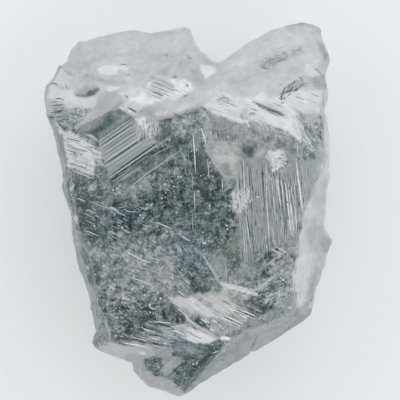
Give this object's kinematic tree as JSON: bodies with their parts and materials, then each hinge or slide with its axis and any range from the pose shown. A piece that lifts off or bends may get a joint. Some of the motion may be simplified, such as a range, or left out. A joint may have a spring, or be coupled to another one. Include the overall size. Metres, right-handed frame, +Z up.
{
  "type": "rough diamond",
  "caption": "Uncut grey diamond crystal, flattened and heart shaped, with striated faces, growth terraces and fractured edges, lying on a cleavage face.",
  "frame": {"origin": "middle of the stone's footprint, on the flat face that it rests on", "axes": "+Y along the stone towards its two lobes, +X across it, +Z up through the striated front"},
  "size_m": [0.0092, 0.012, 0.0054],
  "materials": {
    "diamond": "clear to smoky grey crystal, dark inside with white feathers, frosted on its lobes and rims"
  },
  "bodies": {
    "root": {"diamond": "diamond"}
  },
  "joints": []
}
